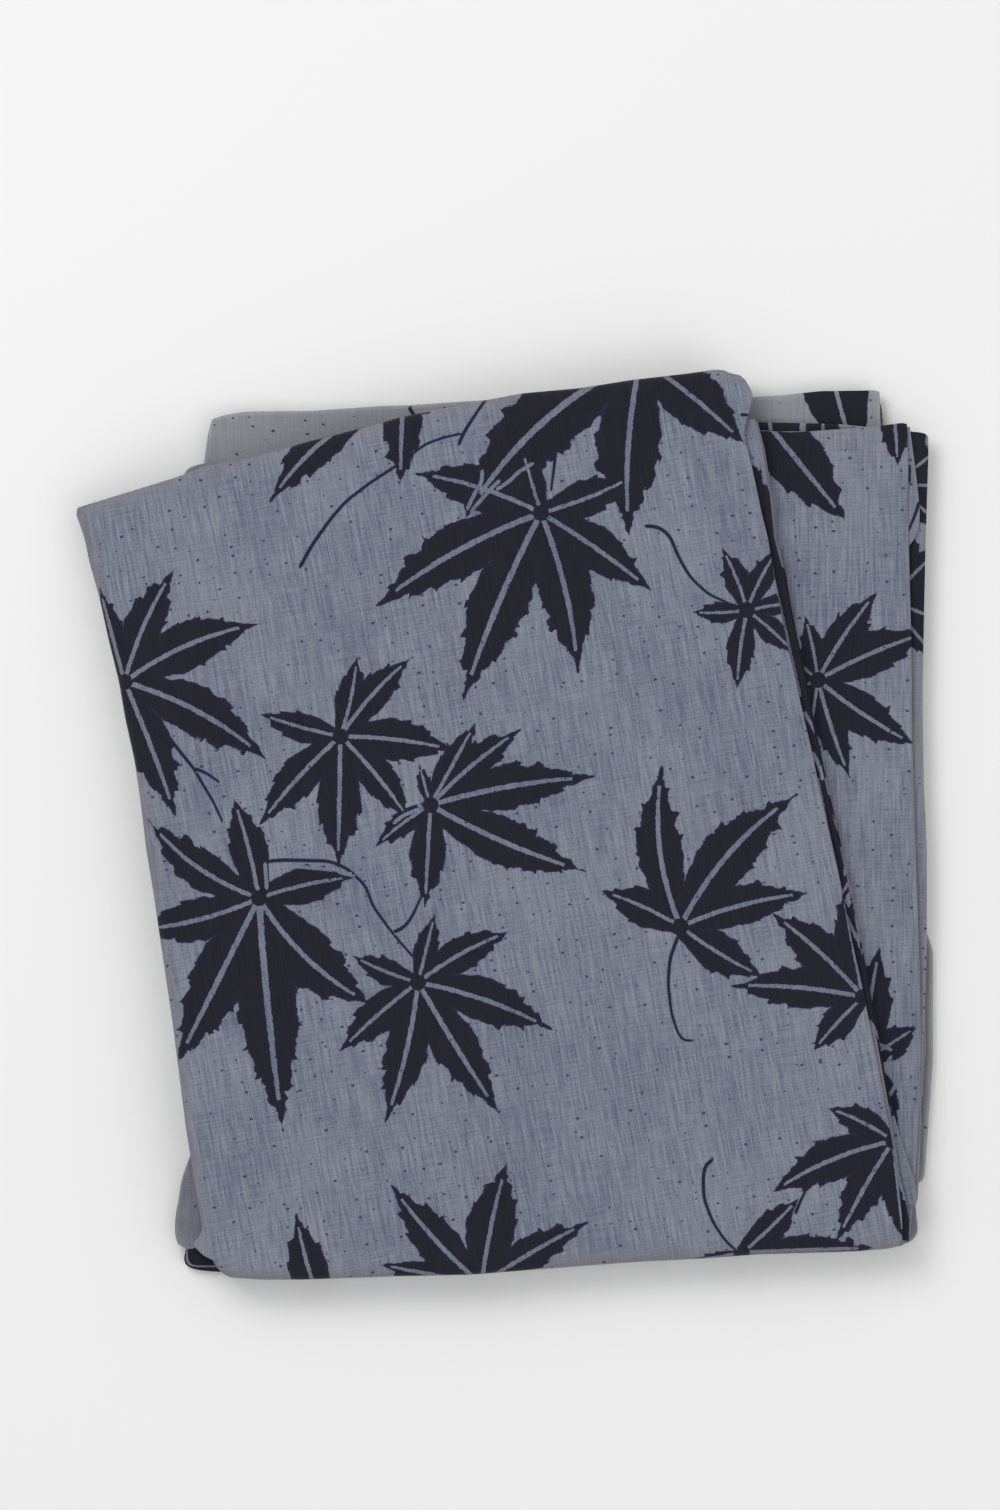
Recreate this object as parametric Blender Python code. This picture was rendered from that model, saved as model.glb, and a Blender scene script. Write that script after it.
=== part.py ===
"""A cotton yukata robe, folded in four and lying flat on a table.

The robe is sewn from straight widths of one printed cotton: two back and front panels, two
sleeves, two overlaps and a collar. It is laid edge on edge, halved twice across its length and
left a little untidy. The lower half has its open ends at the back. The upper half lies over it,
turned about the front fold, and its outer sheet rolls over that fold down to the table.

Metres, +Z up. The front fold faces -Y. The origin is on the table, under the middle.
"""

import math
from collections import namedtuple

import bpy
import numpy as np

MM = 0.001
CENTRE = (-0.65, 0.25, 0.0)  # middle of the bundle on the table, in the plans' millimetres

# Cloth, in millimetres
SHEET = 1.5  # an outer panel, with its seam allowance and the wrinkles that lift it
LAYER = 1.2  # a folded edge that shows between the hidden layers
GAP = 0.3  # air between neighbours
CORNER = 6.0  # corner radius of a folded edge between the layers
DROOP = 9.5  # how far the back left corner of the upper half sinks past the lower half
OVERHANG = 59.0  # how far it reaches past the lower half
BITE = 9.0  # depth of the slots between the hidden layers of the upper half

# Heights above the table, in millimetres
LOWER_TOP = 12.9  # hidden layers of the lower half
HALF_STEP = 13.3  # where the upper half's turned edges end
TOP = 27.0  # outer sheet of the upper half

# Grids
SIDE_POINTS = 9
ARC_POINTS = 4

# Plan of each level in millimetres: four corners and their radii, then for each side how far it
# bows outwards at its middle, and how far it sways out in its first half and in in its second
Plan = namedtuple("Plan", "back_left front_left front_right back_right radii bows sways")
Sides = namedtuple("Sides", "left front right back")
UPPER = Plan(
    (-193.6, 144.0), (-132.1, -204.1), (180.2, -189.9), (106.5, 206.0),
    radii=(4.0, 9.0, 4.5, 8.0), bows=Sides(-5.0, 2.2, 0.5, 9.3), sways=Sides(-2.0, 1.2, 2.8, 0.0),
)
SECOND = Plan(
    (103.0, 177.5), (171.6, -184.6), (182.6, -184.0), (181.3, 180.9),
    radii=(4.0, 4.0, 4.0, 4.0), bows=Sides(-0.5, 0.0, 1.0, 0.0), sways=Sides(2.4, 0.0, 0.0, 0.0),
)
MIDDLE = Plan(
    (-129.8, 175.3), (-141.0, -197.5), (184.0, -185.5), (187.0, 174.0),
    radii=(6.0, 6.0, 6.0, 6.0), bows=Sides(0.0, 2.0, 0.0, 0.0), sways=Sides(0.0, 0.0, 0.0, 0.0),
)
BOTTOM = Plan(
    (-131.6, 183.4), (-144.7, -200.2), (184.3, -187.4), (168.5, 195.5),
    radii=(5.0, 6.0, 6.0, 5.0), bows=Sides(0.0, 2.8, 4.0, 0.0), sways=Sides(0.0, 0.0, 0.0, 0.0),
)

# Hidden layers of the lower half: height, plan, and how far each side is set in
Level = namedtuple("Level", "height plan left front right back")
LOWER_LEVELS = (
    Level(1.8, BOTTOM, 2.4, 3.0, 2.4, 2.4),
    Level(2.5, BOTTOM, 1.2, 2.2, 1.2, 1.2),
    Level(3.2, BOTTOM, 2.2, 2.6, 2.2, 2.2),
    Level(3.3, BOTTOM, 3.0, 3.2, BITE + 3.0, 3.0),
    Level(4.9, BOTTOM, 3.0, 3.0, BITE + 3.0, 3.0),
    Level(5.0, BOTTOM, 2.0, 2.4, 2.2, 2.2),
    Level(5.6, BOTTOM, 1.0, 1.8, 1.2, 1.2),
    Level(6.2, BOTTOM, 2.0, 1.8, 2.2, 2.2),
    Level(6.3, MIDDLE, BITE + 3.0, 2.4, 12.0, BITE + 8.0),
    Level(7.9, MIDDLE, BITE + 3.0, 2.4, 12.0, BITE + 8.0),
    Level(8.0, MIDDLE, 3.0, 1.8, 3.4, 2.2),
    Level(8.7, MIDDLE, 2.0, 1.0, 2.2, 1.2),
    Level(9.4, MIDDLE, 3.0, 1.8, 3.4, 2.2),
    Level(9.5, MIDDLE, 4.0, 2.4, BITE + 3.0, BITE + 3.0),
    Level(11.1, MIDDLE, 4.0, 2.4, BITE + 3.0, BITE + 3.0),
    Level(11.2, MIDDLE, 3.2, 2.6, 6.8, 2.4),
    Level(12.1, MIDDLE, 2.6, 2.2, 6.0, 1.8),
    Level(LOWER_TOP, MIDDLE, 4.2, 3.4, 7.0, 3.4),
)

# Hidden layers of the upper half, between its underside and its outer sheet
UPPER_LEVELS = (
    Level(12.6, UPPER, 8.0, 8.0, BITE + 2.0, 8.0),
    Level(13.0, UPPER, 4.6, 4.8, BITE + 1.0, 4.6),
    Level(14.9, UPPER, 3.2, 3.2, BITE + 1.0, 3.2),
    Level(15.0, UPPER, 3.1, 3.1, 3.9, 3.1),
    Level(16.0, UPPER, 2.7, 2.7, 3.1, 2.7),
    Level(17.0, UPPER, 2.4, 2.4, 3.9, 2.4),
    Level(17.1, UPPER, 2.3, 2.3, BITE, 2.3),
    Level(18.7, UPPER, 2.3, 2.3, BITE, 2.3),
    Level(18.8, UPPER, 2.3, 2.3, 3.9, 2.3),
    Level(19.9, UPPER, 2.3, 2.3, 3.1, 2.3),
    Level(21.0, UPPER, 2.3, 2.3, 3.9, 2.3),
    Level(21.1, UPPER, 2.4, 2.4, BITE, 2.4),
    Level(22.7, UPPER, 2.8, 2.8, BITE, 2.8),
    Level(22.8, UPPER, 2.9, 2.9, 3.9, 2.9),
    Level(23.8, UPPER, 3.7, 3.7, 3.2, 3.7),
    Level(24.5, UPPER, 5.2, 5.2, 4.4, 5.2),
    Level(25.2, UPPER, 8.0, 8.0, 8.0, 8.0),
)

# How far in the rings of a broad face lie, in millimetres
FACE_RINGS = (14.0, 24.0, 38.0, 56.0, 80.0, 112.0)
PLATE_RINGS = (12.0,)

# Section of a sheet from its upper face round the edge to its lower face. At an open edge the
# sheet ends flat; at a fold it turns down. A drop is in millimetres, and a share is of the turn.
Turn = namedtuple("Turn", "open_in open_drop fold_in fold_drop fold_share")
SECTION = (
    Turn(8.0, 0.0, 8.0, 0.0, 0.0),
    Turn(4.0, 0.0, 4.2, 0.6, 0.0),
    Turn(1.8, 0.0, 1.4, 2.2, 0.0),
    Turn(0.7, 0.1, 0.2, 4.8, 0.0),
    Turn(0.1, 0.5, 0.0, 0.0, 0.55),
    Turn(0.1, 1.0, 1.2, 0.0, 1.0),
    Turn(0.7, 1.4, 2.7, 0.0, 1.0),
    Turn(1.8, 1.5, 1.5, 0.0, 0.55),
    Turn(2.6, 1.5, 1.7, 5.2, 0.0),
    Turn(3.6, 1.5, 2.8, 3.2, 0.0),
    Turn(5.0, 1.5, 4.8, 2.1, 0.0),
    Turn(8.0, 1.5, 8.0, 1.5, 0.0),
)

# Folded edges that lie between the hidden layers: the corners of the outer edge in millimetres,
# in order with the layer on the left hand, how its sides curve, how far it reaches in, its
# underside's height, and whether it is in the upper half
Layer = namedtuple("Layer", "name edge bow sway reach bottom upper")
LAYERS = (
    Layer("front_left_panel", ((183.2, -180.0), (112.0, 190.0)), 0.5, 2.8, 10.5, 21.3, True),
    Layer("overlap_left_panel", ((185.4, -178.0), (116.0, 184.0)), 0.5, 2.8, 13.5, 17.3, True),
    Layer("sleeve_right", ((186.6, -182.0), (191.0, 176.0), (113.0, 179.6)), 0.0, 0.0, 9.0, 9.7, False),
    Layer(
        "front_right_panel", ((171.0, 172.0), (169.0, 196.0), (-132.0, 184.0), (-137.0, 150.0)),
        0.0, 0.0, 8.0, 6.5, False,
    ),
    Layer(
        "sleeve_left", ((-142.0, -140.0), (-148.2, -184.0), (-136.0, -190.0)),
        0.0, 0.0, 8.0, 6.5, False,
    ),
    Layer("overlap_right_panel", ((186.4, -170.0), (190.6, -46.0)), 2.8, 0.0, 12.0, 3.5, False),
)

COTTON = (0.188, 0.209, 0.270, 1.0)
INDIGO = (0.019, 0.019, 0.032, 1.0)


def smooth(t):
    """0 to 1, level at both ends."""
    t = np.clip(t, 0.0, 1.0)
    return t * t * (3.0 - 2.0 * t)


def sink(x, y):
    """How far the upper half droops where it reaches past the left edge of the lower half."""
    (back_x, back_y), (front_x, front_y) = BOTTOM.back_left, BOTTOM.front_left
    edge = front_x + (back_x - front_x) * (y - front_y) / (back_y - front_y)
    past = np.clip((edge - x) / OVERHANG, 0.0, 1.2)
    return DROOP * past**1.7


def offset_corners(points, insets, closed):
    """Corners of the path whose sides are moved in, to their left, by their own insets."""
    points = np.asarray(points, float)
    count = len(points)
    sides = count if closed else count - 1
    starts = points[:sides]
    along = np.roll(points, -1, axis=0)[:sides] - starts
    along /= np.linalg.norm(along, axis=1)[:, None]
    inward = np.stack([-along[:, 1], along[:, 0]], axis=1)
    moved = starts + inward * np.asarray(insets, float)[:, None]
    found = []
    for i in range(count):
        before, after = i - 1, i
        if not closed and i == 0:
            found.append(moved[0])
            continue
        if not closed and i == count - 1:
            found.append(points[i] + inward[-1] * insets[-1])
            continue
        matrix = np.stack([along[before], -along[after]], axis=1)
        share = np.linalg.solve(matrix, moved[after] - moved[before])
        found.append(moved[before] + along[before] * share[0])
    return np.array(found), along, inward


def rounded_path(points, insets, bows, sways, radii, closed):
    """Points along a path with rounded corners and curved sides, as (x, y, side, share).

    share runs from 0 to 1 along each side; on a corner's arc it is 1 of the side before. A side
    leaves its straight line by bow * sin(pi * share) + sway * sin(2 * pi * share)."""
    corners, along, inward = offset_corners(points, insets, closed)
    count = len(corners)
    arcs = {}
    for i in range(count):
        if not closed and i in (0, count - 1):
            arcs[i] = (corners[i], corners[i], corners[i : i + 1])
            continue
        before, after = along[i - 1], along[i % len(along)]
        turn = math.atan2(before[0] * after[1] - before[1] * after[0], before @ after)
        size = max(radii[i] - 0.5 * (insets[i - 1] + insets[i % len(along)]), 0.6)
        reach = size * math.tan(abs(turn) / 2)
        start, end = corners[i] - before * reach, corners[i] + after * reach
        side = math.copysign(1.0, turn)
        centre = start + side * size * np.array([-before[1], before[0]])
        angle = math.atan2(*(start - centre)[::-1]) + turn * np.linspace(0, 1, ARC_POINTS)
        arcs[i] = (start, end, centre + size * np.stack([np.cos(angle), np.sin(angle)], axis=1))
    rows = []
    for i in range(len(along)):
        if i == 0 and not closed:
            rows.append([*arcs[0][2][0], 0, 0.0])
        start, end = arcs[i][1], arcs[(i + 1) % count][0]
        share = (1 - np.cos(math.pi * np.arange(1, SIDE_POINTS + 1) / (SIDE_POINTS + 1))) / 2
        curve = bows[i] * np.sin(math.pi * share) + sways[i] * np.sin(2 * math.pi * share)
        line = start + (end - start) * share[:, None] - inward[i] * curve[:, None]
        rows += [[*p, i, s] for p, s in zip(line, share)]
        rows += [[*p, i, 1.0] for p in arcs[(i + 1) % count][2]]
    return np.array(rows)


def plan_path(plan, left, front, right, back):
    """The closed outline of a plan, its sides moved in; the sides are left, front, right, back."""
    return rounded_path(plan[:4], (left, front, right, back), plan.bows, plan.sways, plan.radii, True)


def with_height(path, height, upper):
    """Points in three dimensions; those of the upper half droop past the lower half."""
    x, y = path[:, 0], path[:, 1]
    z = np.broadcast_to(np.asarray(height, float), x.shape)
    return np.stack([x, y, z - sink(x, y) if upper else z], axis=1)


def solid(name, rings, colour):
    """A closed object lofted through rings of equally many points, with its two ends filled.

    Each four-sided face is split along its shorter diagonal, so that parallel walls stay parallel."""
    rings = np.array(rings)
    count, size = rings.shape[:2]
    points = rings.reshape(-1, 3) - np.array(CENTRE)
    i, j = np.meshgrid(np.arange(count - 1) * size, np.arange(size), indexing="ij")
    k = (j + 1) % size
    a, b, c, d = (n.ravel() for n in (i + j, i + k, i + size + k, i + size + j))
    first = np.linalg.norm(points[a] - points[c], axis=1) <= np.linalg.norm(points[b] - points[d], axis=1)
    faces = np.stack([a, b, np.where(first, c, d), np.where(first, a, b), c, d], axis=1).reshape(-1, 3).tolist()
    faces.append(list(range(size))[::-1])
    faces.append(list(range((count - 1) * size, count * size)))
    mesh = bpy.data.meshes.new(name)
    mesh.from_pydata((points * MM).tolist(), [], faces)
    mesh.shade_smooth()
    mesh.set_sharp_from_angle(angle=math.radians(50))
    material = bpy.data.materials.new(name)
    material.use_nodes = True
    shader = material.node_tree.nodes["Principled BSDF"]
    shader.inputs["Base Color"].default_value = colour
    shader.inputs["Roughness"].default_value = 0.9
    shader.inputs["Metallic"].default_value = 0.0
    mesh.materials.append(material)
    body = bpy.data.objects.new(name, mesh)
    bpy.context.scene.collection.objects.link(body)
    return body


def stacked(levels, upper):
    """Rings up the edges of a stack of hidden layers."""
    return [with_height(plan_path(v.plan, v.left, v.front, v.right, v.back), v.height, upper) for v in levels]


def hidden_layers():
    """The folded layers inside, as one rounded solid with slots where the outer cloth tucks in."""
    lower = solid("hidden_layers", stacked(LOWER_LEVELS, False), COTTON)
    first, last = UPPER_LEVELS[0], UPPER_LEVELS[-1]
    rings = stacked(
        [first._replace(left=r, front=r, right=r + BITE, back=r) for r in reversed(FACE_RINGS)], True
    )
    rings += stacked(UPPER_LEVELS, True)
    rings += stacked([last._replace(left=r, front=r, right=r, back=r) for r in FACE_RINGS], True)
    upper = solid("upper_hidden_layers", rings, COTTON)
    upper.hide_render = True
    upper.display_type = "WIRE"
    join = lower.modifiers.new("upper half", "BOOLEAN")
    join.operation = "UNION"
    join.solver = "EXACT"
    join.object = upper


def sheet(name, plan, top, turns, upper, faces, colour):
    """A cloth wall over a plan. turns(side, share) gives how far its edge turns down at a fold, in
    millimetres, or 0 where the edge is open."""
    outer = plan_path(plan, 0.0, 0.0, 0.0, 0.0)
    depth = turns(outer[:, 2], outer[:, 3])
    fold = smooth(depth / (3.0 * SHEET))
    rings = [with_height(plan_path(plan, r, r, r, r), top, upper) for r in reversed(faces)]
    for row in SECTION:
        flat = plan_path(plan, *[row.open_in] * 4)
        bent = plan_path(plan, *[row.fold_in] * 4)
        path = flat + (bent - flat) * fold[:, None]
        drop = row.open_drop + (row.fold_drop + row.fold_share * depth - row.open_drop) * fold
        rings.append(with_height(path, top - drop, upper))
    rings += [with_height(plan_path(plan, r, r, r, r), top - SHEET, upper) for r in faces]
    return solid(name, rings[::-1], colour)


def upper_turns(side, share):
    """The upper sheet turns down over the left and back folds, right down to the table over the
    front fold, and ends open at the right."""
    half = TOP - HALF_STEP
    full = TOP - SHEET - 2 * GAP
    front = (half + (full - half) * smooth(share / 0.07)) * smooth((1.0 - share) / 0.024)
    depth = np.where(side == 1, front, np.where(side == 2, 0.0, half))
    arc = (side == 2) & (share == 1.0)
    return np.where(arc, half * smooth(np.cumsum(arc) / ARC_POINTS), depth)


def flat_turns(side, share):
    """Every edge is open."""
    return 0.0 * side * share


def folded_layer(row):
    """A folded edge: a flat strip with a round outer edge, carried along its path."""
    sides = len(row.edge) - 1
    bows, sways, radii = [row.bow] * sides, [row.sway] * sides, [CORNER] * (sides + 1)
    insets = (row.reach, 0.4, 0.0)
    paths = [rounded_path(row.edge, [inset] * sides, bows, sways, radii, False) for inset in insets]
    inner, shoulder, outer = paths
    low, high = row.bottom, row.bottom + LAYER
    section = ((inner, high), (shoulder, high), (outer, low + LAYER / 2), (shoulder, low), (inner, low))
    stations = np.stack([with_height(path, height, row.upper) for path, height in section], axis=1)
    return solid(row.name, stations, COTTON)


def collar():
    """The collar's folded strip, which bulges out between the right panels near the back."""
    stations = 9
    first, length, bulge = 178.5, 52.0, 5.0
    inside, low, high = 181.2, 11.5, 12.9
    share = np.linspace(0.0, 1.0, stations)
    y = first - length * share
    out = inside + 0.8 + bulge * np.sin(math.pi * share**1.5)
    rows = []
    for reach, height in ((0.0, low), (0.6, low), (1.0, (low + high) / 2), (0.6, high), (0.0, high)):
        rows.append(np.stack([inside + (out - inside) * reach, y, np.full(stations, height)], axis=1))
    return solid("collar", np.stack(rows, axis=1), COTTON)


def main():
    for old in list(bpy.data.objects):
        bpy.data.objects.remove(old)
    hidden_layers()
    sheet("back_left_panel", UPPER, TOP, upper_turns, True, FACE_RINGS, COTTON)
    sheet("back_left_panel_under", BOTTOM, SHEET, flat_turns, False, PLATE_RINGS, INDIGO)
    sheet("back_right_panel", SECOND, LOWER_TOP + GAP + SHEET, flat_turns, False, (), COTTON)
    for row in LAYERS:
        folded_layer(row)
    collar()


main()
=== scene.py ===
"""A cotton yukata robe with an indigo maple leaf print, folded in four, seen from straight above."""

import math
from collections import namedtuple

import bpy
import numpy as np
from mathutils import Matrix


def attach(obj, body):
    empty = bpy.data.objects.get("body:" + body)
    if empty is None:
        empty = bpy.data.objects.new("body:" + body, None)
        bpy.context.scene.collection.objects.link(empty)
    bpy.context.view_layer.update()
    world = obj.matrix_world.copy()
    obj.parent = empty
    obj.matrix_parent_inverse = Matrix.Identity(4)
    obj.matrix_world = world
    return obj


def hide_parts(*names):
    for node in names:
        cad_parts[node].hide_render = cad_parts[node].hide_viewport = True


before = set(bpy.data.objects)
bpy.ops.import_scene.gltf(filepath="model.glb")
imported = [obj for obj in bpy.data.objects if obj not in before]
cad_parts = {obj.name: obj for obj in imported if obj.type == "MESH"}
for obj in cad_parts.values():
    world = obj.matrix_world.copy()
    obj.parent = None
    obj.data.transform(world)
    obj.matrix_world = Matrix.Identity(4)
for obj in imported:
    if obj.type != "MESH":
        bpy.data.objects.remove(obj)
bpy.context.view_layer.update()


# Studio: a plain pale floor, soft even light a little stronger from the back left, and a camera
# straight above, as the photo was taken. Sizes are in millimetres or, in the tables, in pixels of
# the photo.

MM = 0.001
TOP = 27.0                      # height of the top panel's face above the table
EYE = 3775.0                    # height of the camera above that face
PIXEL = 0.45                    # millimetres of the top panel in a pixel of the photo
PHOTO_MIDDLE = (500, 755)
BUNDLE_MIDDLE = (504.5, 825.5)
SHIFT = (0.65, -0.25)           # from there to the middle of the solids' box


def plan(pixels, height=TOP):
    """Pixels of the photo as millimetres from the middle of the bundle, x to the right, y to the
    back. Cloth that lies lower is farther from the camera, so it looks smaller there."""
    seen = PHOTO_MIDDLE + (np.asarray(pixels, float) - PHOTO_MIDDLE) * (1 + (TOP - height) / EYE)
    x = (seen[..., 0] - BUNDLE_MIDDLE[0]) * PIXEL + SHIFT[0]
    y = (BUNDLE_MIDDLE[1] - seen[..., 1]) * PIXEL + SHIFT[1]
    return np.stack([x, y], -1)


def surface(name, points, faces):
    """A smooth mesh from rows of points in millimetres and rows of four corners."""
    mesh = bpy.data.meshes.new(name)
    mesh.vertices.add(len(points))
    mesh.vertices.foreach_set("co", (points * MM).astype(np.float32).ravel())
    mesh.loops.add(faces.size)
    mesh.loops.foreach_set("vertex_index", faces.astype(np.int32).ravel())
    mesh.polygons.add(len(faces))
    mesh.polygons.foreach_set("loop_start", np.arange(0, faces.size, 4, dtype=np.int32))
    mesh.polygons.foreach_set("use_smooth", np.ones(len(faces), bool))
    mesh.update(calc_edges=True)
    mesh.validate()
    piece = bpy.data.objects.new(name, mesh)
    bpy.context.scene.collection.objects.link(piece)
    return piece


FAR, LOW = 6000.0, -0.4
floor = surface(
    "floor", np.array([(-FAR, -FAR, LOW), (FAR, -FAR, LOW), (FAR, FAR, LOW), (-FAR, FAR, LOW)]),
    np.array([[0, 1, 2, 3]]),
)
paper = bpy.data.materials.new("pale_floor")
paper.use_nodes = True
paper.node_tree.nodes["Principled BSDF"].inputs["Base Color"].default_value = (0.86, 0.86, 0.86, 1.0)
paper.node_tree.nodes["Principled BSDF"].inputs["Roughness"].default_value = 0.9
floor.data.materials.append(paper)

world = bpy.data.worlds.new("studio")
world.use_nodes = True
world.node_tree.nodes["Background"].inputs["Color"].default_value = (1.0, 1.0, 1.0, 1.0)
world.node_tree.nodes["Background"].inputs["Strength"].default_value = 0.62
bpy.context.scene.world = world
bpy.context.scene.view_settings.view_transform = "Standard"

for name, place, size, power in (
    ("key_light", (-0.9, 1.1, 1.9), 1.2, 22.0), ("fill_light", (1.3, -0.9, 1.6), 1.6, 9.0),
):
    lamp = bpy.data.lights.new(name, "AREA")
    lamp.size, lamp.energy = size, power
    holder = bpy.data.objects.new(name, lamp)
    holder.location = place
    far = math.hypot(place[0], place[1])
    holder.rotation_euler = (math.atan2(far, place[2]), 0.0, math.atan2(place[1], place[0]) + math.pi / 2)
    bpy.context.scene.collection.objects.link(holder)

lens = bpy.data.cameras.new("camera")
lens.lens, lens.sensor_width, lens.sensor_fit = 200.0, 36.0, "AUTO"
lens.clip_end = 20.0
camera = bpy.data.objects.new("camera", lens)
camera.location = (*(plan(PHOTO_MIDDLE) * MM), (TOP + EYE) * MM)
bpy.context.scene.collection.objects.link(camera)
bpy.context.scene.camera = camera


# Top panel: the left half of the back, in slubbed grey-blue cotton printed with indigo maple
# leaves. It lies on top of the bundle, turns down round the left and back folds, and rolls over
# the front fold to the table. Its right edge is doubled under at the side seam.

# A panel's side: how far the face drops over its last stretch, then how far it goes down and in
Side = namedtuple("Side", "drop reach depth tuck")
FOLD = Side(drop=4.8, reach=8.0, depth=8.6, tuck=5.0)
ROLL = Side(drop=4.8, reach=8.0, depth=19.4, tuck=3.0)
HEM = Side(drop=0.6, reach=1.6, depth=0.9, tuck=7.0)

TOP_LEFT = (
    (76, 507), (74.5, 513), (80, 527), (84, 540), (88, 560), (98, 595), (108, 640), (118, 680), (125, 720),
    (134, 760), (140, 800), (146, 850), (153, 892), (163, 960), (172, 1020), (181, 1090), (186, 1130),
    (191, 1160), (195, 1185), (199, 1208), (202, 1225), (202, 1233), (197, 1240), (192, 1245), (195, 1249),
    (206, 1251), (211, 1258), (215, 1266),
)
TOP_FRONT = (
    (215, 1266), (221, 1273), (229, 1278), (260, 1280), (300, 1280), (400, 1276.5), (470, 1275), (560, 1268),
    (640, 1262), (700, 1259), (760, 1254.5), (860, 1251.5), (890, 1249), (903, 1246),
)
TOP_RIGHT = (
    (903, 1246), (902, 1215), (898, 1180), (892, 1140), (885, 1105), (877, 1060), (870, 1025), (862, 985),
    (853, 945), (838, 870), (820, 790), (811, 747), (800, 700), (793, 668), (787, 643), (777, 590),
    (773, 568), (768, 538), (762, 514), (757, 490), (750, 457), (746, 443), (744.5, 430), (747, 419),
    (751, 407), (753, 397), (751.5, 390), (745.5, 380),
)
TOP_BACK = (
    (745.5, 380), (741, 374.5), (730, 373), (725, 369.5), (713, 369.5), (690, 373), (630, 380), (580, 388),
    (523, 393), (420, 413), (400, 417), (380, 423), (310, 441), (270, 452), (240, 460), (204, 466),
    (182, 475), (170, 479), (76, 507),
)


def soft_line(points, count, round_off=2.0):
    """count evenly spaced points of a line through the given ones, its corners rounded by a
    running mean that keeps both ends; given shares of its length in place of count, points there."""

    def placed(line, spots):
        lengths = np.r_[0.0, np.cumsum(np.linalg.norm(np.diff(line, axis=0), axis=1))]
        at = spots(lengths[-1])
        return np.stack([np.interp(at, lengths, line[:, k]) for k in range(2)], axis=1)

    step = 0.5
    line = placed(np.asarray(points, float), lambda long: np.linspace(0.0, long, max(int(long / step), 4)))
    width = max(int(round_off / step), 1)
    for _ in range(3):
        before, after = 2 * line[0] - line[width:0:-1], 2 * line[-1] - line[-2:-width - 2:-1]
        sums = np.cumsum(np.concatenate([np.zeros((1, 2)), before, line, after]), axis=0)
        line = (sums[2 * width + 1:] - sums[:-2 * width - 1]) / (2 * width + 1)
    shares = np.linspace(0.0, 1.0, count) if np.isscalar(count) else np.asarray(count)
    return placed(line, lambda long: shares * long)


def waves(x, y, length, seed):
    """Uneven waves, mostly between -1 and 1: six sines, added and divided by 4, whose lengths are
    near the given one and whose directions and shifts come from the seed."""
    pick = np.random.default_rng(seed)
    turns, scales = pick.uniform(0, math.tau, 6), pick.uniform(0.6, 1.7, 6)
    total = 0.0
    for turn, scale, shift in zip(turns, scales, pick.uniform(0, math.tau, 6)):
        along = x * math.cos(turn) + y * math.sin(turn)
        total = total + np.sin(along * math.tau / (length * scale) + shift)
    return total / 4.0


def crease(x, y, start, end, width, height):
    """A soft ridge, or a trough for a height below 0, along a straight line: height times a bell
    across the line, fading out towards both ends."""
    (ax, ay), (bx, by) = start, end
    long = math.hypot(bx - ax, by - ay)
    along = ((x - ax) * (bx - ax) + (y - ay) * (by - ay)) / long
    across = ((x - ax) * (by - ay) - (y - ay) * (bx - ax)) / long
    share = np.clip(along / long, 0.0, 1.0)
    return height * np.exp(-((across / width) ** 2)) * np.sin(math.pi * share) ** 0.7


def smooth(t):
    """0 to 1, level at both ends."""
    t = np.clip(t, 0.0, 1.0)
    return t * t * (3.0 - 2.0 * t)


# Left edge of the lower half: where its back end lies, how far it leans to the left on its way to
# the front, and how long it is
LOWER_LEFT, LOWER_BACK, LEAN, LOWER_LENGTH = -131.0, 183.2, 13.1, 383.6
OVERHANG, DROOP = 59.0, 9.5


def sink(x, y):
    """How far the upper half droops where it reaches past the left edge of the lower half: DROOP
    times the 1.7th power of the distance past the edge over OVERHANG."""
    edge = LOWER_LEFT - LEAN * (LOWER_BACK - y) / LOWER_LENGTH
    return DROOP * np.clip((edge - x) / OVERHANG, 0.0, 1.2) ** 1.7


def spaced(length, spacing):
    """Shares from 0 to 1 along a side: evenly spaced, but closer in the bends at both ends."""
    near = np.array([0.0, 0.25, 0.7, 1.3, 2.1, 3.1, 4.2, 5.4, 6.6])
    near = near[near < length / 3]
    middle = np.linspace(near[-1], length - near[-1], max(int((length - 2 * near[-1]) / spacing), 1) + 1)
    return np.concatenate([near[:-1], middle, length - near[-2::-1]]) / length


WALL_RINGS = 12


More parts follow.
